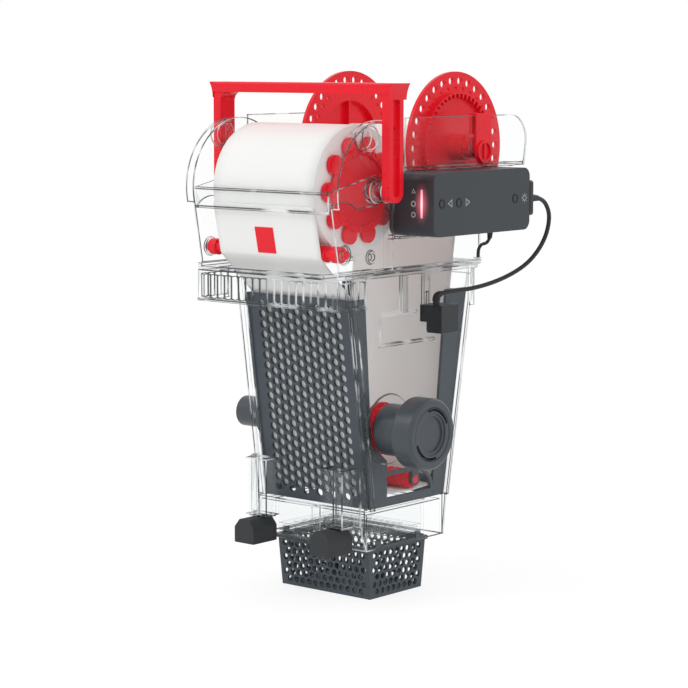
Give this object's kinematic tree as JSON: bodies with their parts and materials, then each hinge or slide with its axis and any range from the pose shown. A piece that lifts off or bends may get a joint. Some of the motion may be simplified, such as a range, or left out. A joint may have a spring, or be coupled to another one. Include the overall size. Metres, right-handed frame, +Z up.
{
  "type": "aquarium roller filter",
  "caption": "Clear wedge-shaped fleece roller filter with a strainer basket, overflow comb, side union, motor box, carry handle and perforated take-up reel.",
  "frame": {"origin": "centre of the strainer basket's bottom face", "axes": "+Z up, -Y to the front where the new fleece and the overflow comb are, +X to the side with the motor box and the union"},
  "size_m": [0.1966, 0.2339, 0.3995],
  "materials": {
    "clear": "clear moulded acrylic, polished",
    "red": "red moulded plastic, satin gloss",
    "grey": "dark blue-grey moulded plastic, fine satin",
    "black": "near-black moulded plastic",
    "fleece": "white non-woven filter fleece",
    "card": "plain card tube",
    "rubber": "dark rubber",
    "led": "frosted pinkish-red lens, lit",
    "board": "green circuit board",
    "motor": "plain metal can",
    "cable": "black cable sheath"
  },
  "bodies": {
    "housing": {"chamber": "clear", "deck": "clear", "overflow_comb": "clear", "cheek_right": "clear", "cheek_left": "clear", "front_screen": "grey", "front_frame": "grey", "rear_screen": "grey", "rear_frame": "grey", "side_plate_right": "grey", "side_plate_left": "grey", "guide_rods": "grey", "fleece_web": "fleece", "fleece_tag": "red", "diffuser": "clear", "inlet_body_right": "black", "inlet_body_left": "black", "inlet_lock_rings": "red", "inlet_plug_right": "black", "inlet_plug_left": "black", "controller_shell": "grey", "controller_cover": "grey", "gearmotor": "motor", "circuit_board": "board", "led_lens": "led", "cable_plug": "black", "sensor_block": "black", "sensor_cable": "cable", "lead_clip": "clear", "signal_lead": "cable"},
    "carry_handle": {"handle": "red"},
    "guard": {"roll_guard": "clear"},
    "supply_roll": {"fleece_roll": "fleece", "roll_core": "card", "spool_flange_right": "red", "spool_flange_left": "red"},
    "front_roller": {"guide_roller": "red"},
    "lower_roller": {"bottom_roller": "red"},
    "take_up_reel": {"reel_disc_right": "red", "reel_disc_left": "red", "reel_drum": "red", "used_fleece": "fleece"},
    "pinion": {"drive_pinion": "black"},
    "latch": {"reel_latch": "red"},
    "rewind_key": {"button_rewind": "rubber"},
    "advance_key": {"button_advance": "rubber"},
    "set_key": {"button_set": "rubber"},
    "inlet_nut": {"inlet_nut_right": "black"},
    "right_leg": {"leg_right": "clear", "foot_right": "rubber"},
    "left_leg": {"leg_left": "clear", "foot_left": "rubber"},
    "strainer": {"basket": "grey"}
  },
  "joints": [
    {"name": "handle_swing", "type": "hinge", "parent": "housing", "child": "carry_handle", "pos_m": [0, -0.053, 0.313], "axis": [1, 0, 0], "range_deg": [-28, 100]},
    {"name": "guard_swing", "type": "hinge", "parent": "housing", "child": "guard", "pos_m": [0, -0.053, 0.313], "axis": [1, 0, 0], "range_deg": [-100, 0]},
    {"name": "reel_spin", "type": "hinge", "parent": "housing", "child": "take_up_reel", "pos_m": [0, 0.059, 0.342], "axis": [1, 0, 0], "continuous": true},
    {"name": "supply_spin", "type": "hinge", "parent": "housing", "child": "supply_roll", "pos_m": [0, -0.053, 0.313], "axis": [1, 0, 0], "continuous": true},
    {"name": "front_roller_spin", "type": "hinge", "parent": "housing", "child": "front_roller", "pos_m": [0, -0.087, 0.268], "axis": [1, 0, 0], "continuous": true},
    {"name": "lower_roller_spin", "type": "hinge", "parent": "housing", "child": "lower_roller", "pos_m": [0, 0.0135, 0.088], "axis": [1, 0, 0], "continuous": true},
    {"name": "pinion_spin", "type": "hinge", "parent": "housing", "child": "pinion", "pos_m": [0, 0.059, 0.3132], "axis": [1, 0, 0], "continuous": true},
    {"name": "latch_lift", "type": "slide", "parent": "housing", "child": "latch", "axis": [0, 0, 1], "range_m": [0, 0.02]},
    {"name": "rewind_press", "type": "slide", "parent": "housing", "child": "rewind_key", "axis": [-1, 0, 0], "range_m": [0, 0.0008], "stiffness_N_per_m": 400},
    {"name": "advance_press", "type": "slide", "parent": "housing", "child": "advance_key", "axis": [-1, 0, 0], "range_m": [0, 0.0008], "stiffness_N_per_m": 400},
    {"name": "set_press", "type": "slide", "parent": "housing", "child": "set_key", "axis": [-1, 0, 0], "range_m": [0, 0.0008], "stiffness_N_per_m": 400},
    {"name": "nut_turn", "type": "hinge", "parent": "housing", "child": "inlet_nut", "pos_m": [0.09, -0.023, 0.132], "axis": [1, 0, 0], "range_deg": [0, 330]},
    {"name": "right_leg_slide", "type": "slide", "parent": "housing", "child": "right_leg", "axis": [0, 0, -1], "range_m": [0, 0.04]},
    {"name": "left_leg_slide", "type": "slide", "parent": "housing", "child": "left_leg", "axis": [0, 0, -1], "range_m": [0, 0.04]},
    {"name": "basket_pull", "type": "slide", "parent": "housing", "child": "strainer", "axis": [0, 0, -1], "range_m": [0, 0.02]}
  ],
  "couplings": [
    {"joint": "supply_spin", "follows": "reel_spin", "ratio": 0.3394},
    {"joint": "front_roller_spin", "follows": "reel_spin", "ratio": 2.4925},
    {"joint": "lower_roller_spin", "follows": "reel_spin", "ratio": 2.0366},
    {"joint": "pinion_spin", "follows": "reel_spin", "ratio": 4}
  ]
}
